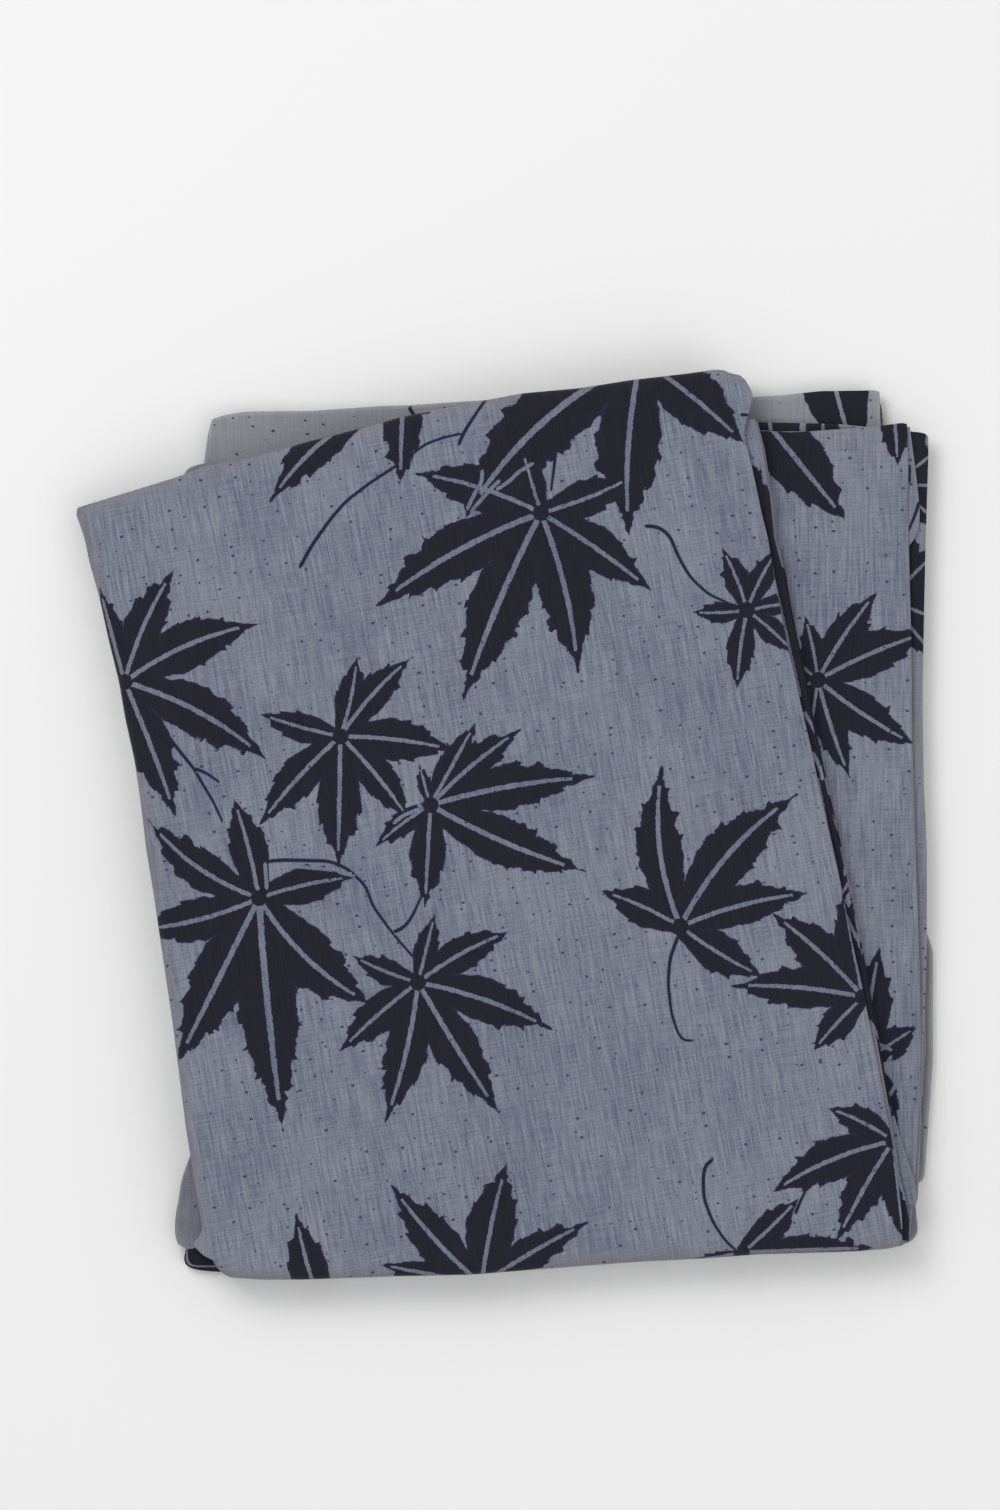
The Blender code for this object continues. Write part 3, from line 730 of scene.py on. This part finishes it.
EDGE = Side(drop=0.7, reach=1.8, depth=0.9, tuck=7.0)
SLIVER_RIGHT = (
    (909, 1241), (909.5, 1221), (905, 1198), (900, 1178), (893, 1130), (884, 1080), (875, 1030),
    (867, 985), (859, 940), (845, 870), (828, 795), (817, 745), (808, 700), (801, 661), (795, 636),
    (788, 600), (784, 574), (779, 556), (774, 538), (773, 527), (770, 497), (766, 470), (762, 446),
    (758.5, 433), (756.5, 425), (755, 419),
)
OVERLAP_FAN = ((914, 1206), (917.5, 1203), (917, 1195), (915, 1181), (908, 1161), (899, 1134))
OVERLAP_RIGHT = OVERLAP_FAN + tuple((x + 2.5, y + 2) for x, y in SLIVER_RIGHT[5:])
SLIVER_DEPTH = np.array([-24.0, 2.0])
SLIVER_LEAVES = (
    Leaf((800, 705), ((741, 440, 0.95, 0.0), (795, 790, 1.0, 0.0), (850, 790, 0.9, 0.0))),
    Leaf((838, 900), (
        (815, 760, 0.8, 0.0), (868, 850, 0.8, 0.0), (880, 985, 0.8, 0.0), (845, 1010, 0.8, 0.0),
    )),
    Leaf((868, 870), ((897, 1062, 1.3, 0.0),)),
    Leaf((897, 1290), ((897, 1180, 1.2, 0.0),)),
)
OVERLAP_LEAVES = tuple(
    Leaf((x + 10, y + 75), [(tip_x + 10, tip_y + 75, *shape) for tip_x, tip_y, *shape in lobes])
    for (x, y), lobes in SLIVER_LEAVES[:3]
)
for name, node, level, edge, leaves, seed, turn, below in (
    ("left_front_edge", "front_left_panel", 22.6, SLIVER_RIGHT, SLIVER_LEAVES, 21, 0.19, "inner_layer_13"),
    (
        "left_overlap_edge", "overlap_left_panel", 18.6, OVERLAP_RIGHT, OVERLAP_LEAVES, 22, 0.21,
        "inner_layer_11",
    ),
):
    right = plan(edge, level)
    left = right[::-1] + SLIVER_DEPTH
    piece, chart, wear_and_painted_lift = panel(
        name, left, np.array([left[-1], right[0]]), right, np.array([right[-1], left[0]]),
        low_height(level, 0.3, seed), (THIN, EDGE, EDGE, EDGE), mean=2,
    )
    print_on(piece, chart, wear_and_painted_lift, charted(leaves, level), thread_turn=turn, seed=float(seed))
    dress(piece, node)


# Right sleeve: a doubled length of the same cotton, folded in with the lower half. It shows as a
# strip behind the second panel and as a narrow, mostly dark strip along the right side.

SLEEVE_LEVEL = 11.2
SLEEVE_LEFT = ((745, 422), (800, 700), (850, 950), (885, 1195))
SLEEVE_FRONT = ((885, 1195), (905, 1207), (915, 1206))
SLEEVE_BACK = ((928.5, 437), (926, 433), (912, 431.5), (880, 428), (838, 424), (800, 423), (745, 422))
SLEEVE_RIGHT = (
    (915, 1206), (918, 1200), (920, 1150), (922, 1090), (925, 1000), (927, 935), (927, 850), (925.5, 815),
    (924, 790), (922.5, 700), (923.3, 660), (924, 620), (925.3, 560), (927, 500), (928.3, 460),
    (928.5, 437),
)
SLEEVE_LEAVES = (
    Leaf((893, 485), (
        (945, 444, 1.5, 0.0), (951, 485.5, 1.6, 0.0), (945, 527, 1.6, 0.0), (905, 400, 2.3, 0.0),
        (897, 560, 1.6, 0.0),
    )),
    Leaf((888, 600), (
        (940, 548, 2.0, 0.0), (955, 626, 1.8, 0.0), (938, 660, 1.3, 0.0), (905, 518, 2.2, 0.0),
    )),
    Leaf((778, 470), ((762, 380, 2.2, 0.0),)),
    Leaf((822, 456), ((824, 398, 2.0, 0.0),)),
)
sleeve, chart, wear_and_painted_lift = panel(
    "right_sleeve", *lined((SLEEVE_LEFT, SLEEVE_FRONT, SLEEVE_RIGHT, SLEEVE_BACK), SLEEVE_LEVEL),
    low_height(SLEEVE_LEVEL, 0.2, 12), (THIN, THIN, EDGE, EDGE), mean=2,
)
print_on(sleeve, chart, wear_and_painted_lift + 0.6, charted(SLEEVE_LEAVES, SLEEVE_LEVEL), seed=5.0)
dress(sleeve, "sleeve_right")


# Collar: the long doubled strip of the neck opening, of the same cotton. A short stretch bulges
# out between the second panel and the sleeve.

COLLAR_LEVEL = 12.9
COLLAR_SIDES = (
    ((893, 428), (893, 480), (893, 548)),
    ((893, 548), (902, 549), (910, 545)),
    ((910, 545), (916, 537), (919.5, 525), (920, 510), (917, 480), (913, 450), (910, 427)),
    ((910, 427), (900, 426), (893, 428)),
)
# Painted shadow: dark lines for the shade along the second panel's edge and in the crease of the bulge
COLLAR_SHADOW_LINES = (((919, 503), (914, 518), (910, 527)), ((909, 466), (909.5, 478)))
collar, chart, wear_and_painted_lift = panel(
    "collar_fold", *lined(COLLAR_SIDES, COLLAR_LEVEL), low_height(COLLAR_LEVEL, 0.1, 13),
    (THIN, THIN, EDGE, THIN), spacing=0.9, mean=1,
)
print_on(collar, chart, wear_and_painted_lift, [], lined(COLLAR_SHADOW_LINES, COLLAR_LEVEL), thread_turn=0.05, seed=7.0)
dress(collar, "collar")


# Right front panel: one layer of the lower half, of the same cotton, painted paler to offset the
# shade it lies in under the top panel. It shows behind the top panel as a band along the back,
# with its fold at the left and its hem at the right.

FRONT_LEVEL = 7.7
FRONT_LEFT = ((212, 419.5), (210, 425), (207.5, 437), (206, 448), (203.5, 466), (203, 500))
FRONT_FRONT = ((203, 500), (400, 482), (700, 470), (884, 462))
FRONT_RIGHT = ((884, 462), (881, 430), (879.5, 392))
FRONT_BACK = (
    (879.5, 392), (877, 390), (865, 390.5), (820, 391), (785, 395), (753, 397), (700, 398), (600, 397),
    (522, 396), (487, 400), (455, 402), (412, 405), (380, 406), (310, 411), (245, 411.5), (222, 415.5),
    (212, 419.5),
)
FRONT_LEAVES = (
    Leaf((851, 447), ((820, 330, 1.85, 0.0),)),
    Leaf((560, 500), ((470, 330, 1.0, 0.0), (590, 350, 1.0, 0.0))),
)
FRONT_STEMS = (((409.7, 408.6), (412.5, 412.5), (415, 417), (420, 424)),)
front, chart, wear_and_painted_lift = panel(
    "right_front_panel", *lined((FRONT_LEFT, FRONT_FRONT, FRONT_RIGHT, FRONT_BACK), FRONT_LEVEL),
    low_height(FRONT_LEVEL, 0.2, 14), (EDGE, THIN, THIN, EDGE), mean=2,
)
# Plus 1.6: painted light that makes the band paler all over, to offset the shade of the top panel above it
print_on(
    front, chart, wear_and_painted_lift + 1.6, charted(FRONT_LEAVES, FRONT_LEVEL), lined(FRONT_STEMS, FRONT_LEVEL), seed=9.0,
)
dress(front, "front_right_panel")


# Right overlap: the narrow cotton panel sewn down the right front edge. It is one more layer of
# the lower half, and its folded edge swells out at the lower right.

OVERLAP_LEVEL = 4.9
OVERLAP_SIDES = (
    ((903, 925), (903, 1000), (902, 1100), (899, 1190)),
    ((899, 1190), (908, 1187), (917, 1184)),
    (
        (917, 1184), (921.5, 1182), (924.5, 1178), (927, 1145), (930.5, 1095), (933, 1061), (933, 1000),
        (933, 951), (931, 944), (928, 936), (924, 925),
    ),
    ((924, 925), (914, 923), (903, 925)),
)
overlap, chart, wear_and_painted_lift = panel(
    "right_overlap_edge", *lined(OVERLAP_SIDES, OVERLAP_LEVEL), low_height(OVERLAP_LEVEL, 0.1, 15),
    (THIN, THIN, EDGE, THIN), spacing=1.0, mean=2,
)
# Plus 1.1: painted light that makes the strip paler, to offset the shade it lies in under the second panel
print_on(overlap, chart, wear_and_painted_lift + 1.1, [], seed=11.0)
dress(overlap, "overlap_right_panel")


# Left sleeve: a doubled length of the same cotton, folded in with the lower half. Its edge shows
# as a small grey tongue at the lower left, beside the top panel.

TONGUE_LEVEL = 8.0
TONGUE_SIDES = (
    (
        (190, 1156), (185, 1169), (181, 1182), (178, 1202), (175.5, 1217), (175, 1231), (176, 1241),
        (178, 1244),
    ),
    ((178, 1244), (182, 1247), (189, 1250), (198, 1247), (215, 1240)),
    ((215, 1240), (214, 1190), (208, 1140)),
    ((208, 1140), (198, 1142), (190, 1156)),
)
# A dark line along the tongue's left edge
TONGUE_DARK_LINE = (((176, 1204), (174.3, 1217), (174.3, 1232)),)
tongue, chart, wear_and_painted_lift = panel(
    "left_sleeve", *lined(TONGUE_SIDES, TONGUE_LEVEL), low_height(TONGUE_LEVEL, 0.1, 16),
    (EDGE, EDGE, THIN, THIN), spacing=1.0, mean=2,
)
print_on(
    tongue, chart, wear_and_painted_lift + 0.7, [], lined(TONGUE_DARK_LINE, TONGUE_LEVEL), thread_turn=0.04, seed=13.0,
)
dress(tongue, "sleeve_left")


# Lowest panel: the other end of the left half, flat on the table under everything else. Here the
# print is dense, and its dark corner shows at the lower left.

# Each leaf's centre and tips; its ribs bow to the right and to the left by turns
UNDER_BOW = 0.035
UNDER_LEAVES = [
    Leaf(centre, [(*tip, 1.0, -UNDER_BOW if k % 2 else UNDER_BOW) for k, tip in enumerate(tips)])
    for centre, *tips in (
        ((290, 1292), (172, 1254), (215, 1180), (330, 1170), (230, 1350)),
        ((330, 560), (250, 470), (360, 440), (455, 520), (440, 630), (330, 690), (225, 640)),
        ((610, 640), (520, 560), (600, 500), (720, 560), (740, 700), (640, 780), (520, 740)),
        ((360, 900), (260, 830), (350, 760), (470, 830), (480, 960), (370, 1050), (240, 990)),
        ((680, 1010), (590, 920), (680, 850), (800, 920), (810, 1060), (700, 1150), (570, 1100)),
        ((800, 480), (760, 400), (860, 420), (880, 540), (790, 580), (700, 500)),
    )
]
UNDER_SIDES = (
    ((213, 420), (207, 448), (200, 700), (193, 1000), (190, 1180), (188, 1250), (184, 1261), (186, 1267)),
    ((186, 1267), (193, 1270), (210, 1271.5), (400, 1270), (700, 1256), (913, 1240)),
    ((913, 1240), (918, 1232), (912, 1000), (898, 700), (878, 393)),
    ((878, 393), (600, 400), (222, 418), (213, 420)),
)
UNDER_LEVEL = 1.5
under, chart, wear_and_painted_lift = panel(
    "lowest_panel", *lined(UNDER_SIDES), lambda x, y: UNDER_LEVEL + 0.0 * x, (THIN, THIN, THIN, THIN),
    spacing=2.0, mean=2,
)
print_on(under, chart, wear_and_painted_lift, charted(UNDER_LEAVES), thread_turn=0.03, seed=15.0)
dress(under, "back_left_panel_under")


# Inner layers of the lower half: the folded lengths of all the panels, one on another. Only their
# round edges show, each a little further in or out than the next, pressed but not pressed flat.

LOWER_OUTLINE = (
    (214, 424), (209, 470), (204, 700), (198, 1000), (192, 1180), (187, 1247), (183, 1257), (181.5, 1262),
    (183.5, 1266.5), (190, 1269.5), (203, 1271.5), (217.5, 1272.5), (300, 1272), (500, 1269), (700, 1257),
    (860, 1247), (903, 1245), (910, 1243.5), (915.5, 1238.5), (919.5, 1231.5), (917, 1222), (915.5, 1205),
    (917, 1150), (913, 1000), (906, 800), (893, 560), (881, 400), (872, 394), (700, 400), (500, 402),
    (300, 414), (222, 418), (214, 424),
)
MIDDLE_OUTLINE = (
    (224, 482), (217, 510), (208, 700), (204, 1000), (206, 1180), (211, 1243), (217, 1258), (226, 1264),
    (300, 1267), (500, 1265), (700, 1253), (860, 1243), (900, 1237), (909, 1224), (913.5, 1208),
    (919.5, 1205.5), (919.5, 1187), (922.5, 1165), (926.5, 1110), (929, 1040), (929, 968), (925, 930),
    (920, 800), (920, 600), (921, 450), (912, 437), (800, 430), (600, 428), (420, 434), (330, 455),
    (245, 475), (224, 482),
)


FRONT_LEFT_CORNER = (186, 1263)


def folded_edge(
    name, path, level, thick, depth, seed,
    closed=True, droops=False, sway=1.3, ripple=0.12, dark=True,
):
    """The folded edge of a layer, carried along a path in the plan.

    Across, it is a U on its side: a round outer edge as high as the layer is thick, and two lips
    that run in towards the middle of the bundle. Along the path the edge sways in and out, and
    its height ripples, by uneven waves. A dark layer has a leaf at the front left corner."""
    count = max(int(np.linalg.norm(np.diff(path, axis=0), axis=1).sum() / 2.0), 8)
    line = soft_line(path, count + 1, 2.5)
    if closed:
        seam = np.linspace(0.5, 0.0, 5)[:, None]
        middle = (line[1] + line[-2]) / 2
        line[:5] += (middle - line[0]) * seam
        line[-5:] += (middle - line[-1]) * seam[::-1]
        line = line[:-1]
    x, y = line[:, 0], line[:, 1]
    pull = np.stack([-x / 150.0, -y / 190.0], axis=1)
    inset = sway * (0.6 + waves(x, y, 110.0, seed) * 0.75 + waves(x, y, 31.0, seed + 50) * 0.25)
    lift = level + ripple * (waves(x, y, 60.0, seed + 90) + 0.4 * waves(x, y, 17.0, seed + 130))
    full = thick * (1 + 0.18 * waves(x, y, 45.0, seed + 170))
    rows_in = np.array([depth, 0.45 * depth, 2.6, 1.1, 0.3, 0.0, 0.3, 1.1, 2.6, 0.45 * depth, depth])
    rows_up = np.array([0.46, 0.46, 0.5, 0.44, 0.26, 0.0, -0.26, -0.44, -0.5, -0.46, -0.46])
    inward = inset[None] + rows_in[:, None]
    flat = line[None] + inward[..., None] * pull[None]
    z = lift[None] + rows_up[:, None] * full[None]
    if droops:
        z = z - sink(flat[..., 0], flat[..., 1])
    rows, columns = z.shape
    number = np.arange(rows * columns).reshape(rows, columns)
    if closed:
        number = np.concatenate([number, number[:, :1]], axis=1)
    quads = np.stack([number[:-1, :-1], number[1:, :-1], number[1:, 1:], number[:-1, 1:]], axis=-1)
    points = np.concatenate([flat, z[..., None]], axis=-1).reshape(-1, 3)
    along = np.r_[0.0, np.cumsum(np.linalg.norm(np.diff(line, axis=0), axis=1))]
    across = np.concatenate([rows_in[:5] - rows_in[5], -rows_in[5:]])
    chart = np.stack(np.broadcast_arrays(along[None], across[:, None]), axis=-1).reshape(-1, 2)
    piece = surface(name, points, quads.reshape(-1, 4))
    pick = np.random.default_rng(seed)
    leaves, spot = [], pick.uniform(0, 60)
    while spot < along[-1]:
        size, turn, side = pick.uniform(48, 88), pick.uniform(0, math.tau), pick.choice([-1, 1])
        centre = np.array([spot, side * pick.uniform(4, 34)])
        turns = turn + np.arange(7) * math.tau / 7.6 + pick.uniform(-0.1, 0.1, 7)
        reaches = size * pick.uniform(0.55, 1.0, 7)
        tips = zip(centre[0] + reaches * np.cos(turns), centre[1] + reaches * np.sin(turns))
        leaves.append(Leaf(centre, [(x, y, 1.2, 0.03) for x, y in tips]))
        spot += pick.uniform(85, 210)
    if closed and dark:
        corner = along[np.linalg.norm(line - plan(FRONT_LEFT_CORNER, level), axis=1).argmin()]
        leaves.append(Leaf((corner + 34.0, 10.0), ((corner - 36.0, 10.0, 1.7, 0.0),)))
    wear_and_painted_lift = np.repeat(np.clip(1.0 - np.abs(across) / 3.0, 0.0, 1.0), columns) * 0.8
    print_on(piece, chart, wear_and_painted_lift, leaves, thread_turn=math.pi / 2, seed=float(seed))
    size = (float(round(along[-1] * MM, 3)), float(round((2 * depth + thick) * MM, 4)))
    dress(piece, "hidden_layers")


# Each layer's underside and thickness, and how far it may reach on each side, next to the panels.
# At the front left corner a pale layer shows as a thin line between dark ones.
Layer = namedtuple(
    "Layer", "bottom thick outline left right front back", defaults=(-200.0, 200.0, -210.0, 210.0),
)
for k, layer in enumerate((
    Layer(1.75, 1.0, LOWER_OUTLINE),
    Layer(2.88, 1.0, LOWER_OUTLINE, right=177.0),
    Layer(4.02, 0.85, LOWER_OUTLINE, right=177.0),
    Layer(5.0, 0.95, LOWER_OUTLINE, left=-143.8, front=-200.4),
    Layer(6.1, 1.25, LOWER_OUTLINE, left=-143.0, front=-199.8, back=146.0),
    Layer(8.2, 1.1, MIDDLE_OUTLINE),
    Layer(9.45, 1.0, MIDDLE_OUTLINE, right=181.0),
    Layer(10.6, 0.9, MIDDLE_OUTLINE, right=181.0),
    Layer(11.65, 1.05, MIDDLE_OUTLINE, right=181.0),
)):
    middle = layer.bottom + layer.thick / 2
    outline = np.clip(plan(layer.outline, middle), (layer.left, layer.front), (layer.right, layer.back))
    outline[:, 0] -= np.where(outline[:, 0] > 150, 0.5 * (k % 3), 0.0)
    below = f"inner_layer_{k:02d}" if k else "lowest_panel"
    folded_edge(
        f"inner_layer_{k + 1:02d}", outline, middle, layer.thick, 10.0, 40 + k,
        sway=0.3 if k in (0, 3, 4) else 1.3, ripple=0.10, dark=k != 3,
    )


# Inner layers of the upper half: their edges lie open along the right, under the top panel. The
# panel's lower face, folded back under the others, closes the upper half where it overhangs.

UPPER_EDGE = (
    (903, 1237), (895, 1165), (880, 1082), (862, 998), (846, 920), (832, 850), (812, 765), (790, 670),
    (766, 550), (757, 500), (748, 462), (742, 425), (736, 392),
)
UPPER_LAYERS = ((14.9, 0.9), (15.9, 0.95), (18.75, 0.95), (19.8, 1.05), (22.75, 0.9), (23.75, 1.1))
for k, (bottom, thick) in enumerate(UPPER_LAYERS):
    middle = bottom + thick / 2
    line = plan(UPPER_EDGE, middle) - (1.2 + 0.8 * (k % 3), 0.0)
    below = f"inner_layer_{k + 9:02d}" if k else "second_panel"
    folded_edge(
        f"inner_layer_{k + 10:02d}", line, middle, thick, 14.0, 60 + k, closed=False, sway=1.6,
    )
folded_edge(
    "inner_layer_16", plan(TOP_BACK + TOP_LEFT[1:21]) * 0.982, 13.65, 0.9, 64.0, 71,
    closed=False, droops=True, sway=0.3, ripple=0.05,
)


# Inner corner: the folded corner of one middle layer, of the same cotton. It peeps out at the back
# left, between the band and the top panel.

CORNER_LEVEL = 11.2
CORNER_PATH = ((214, 461.5), (204, 463), (193, 465.5), (185, 468.5), (182, 474), (184, 484), (196, 500))
folded_edge(
    "inner_corner", plan(CORNER_PATH, CORNER_LEVEL), CORNER_LEVEL, 1.4, 8.0, 82,
    closed=False, sway=0.1, ripple=0.05,
)
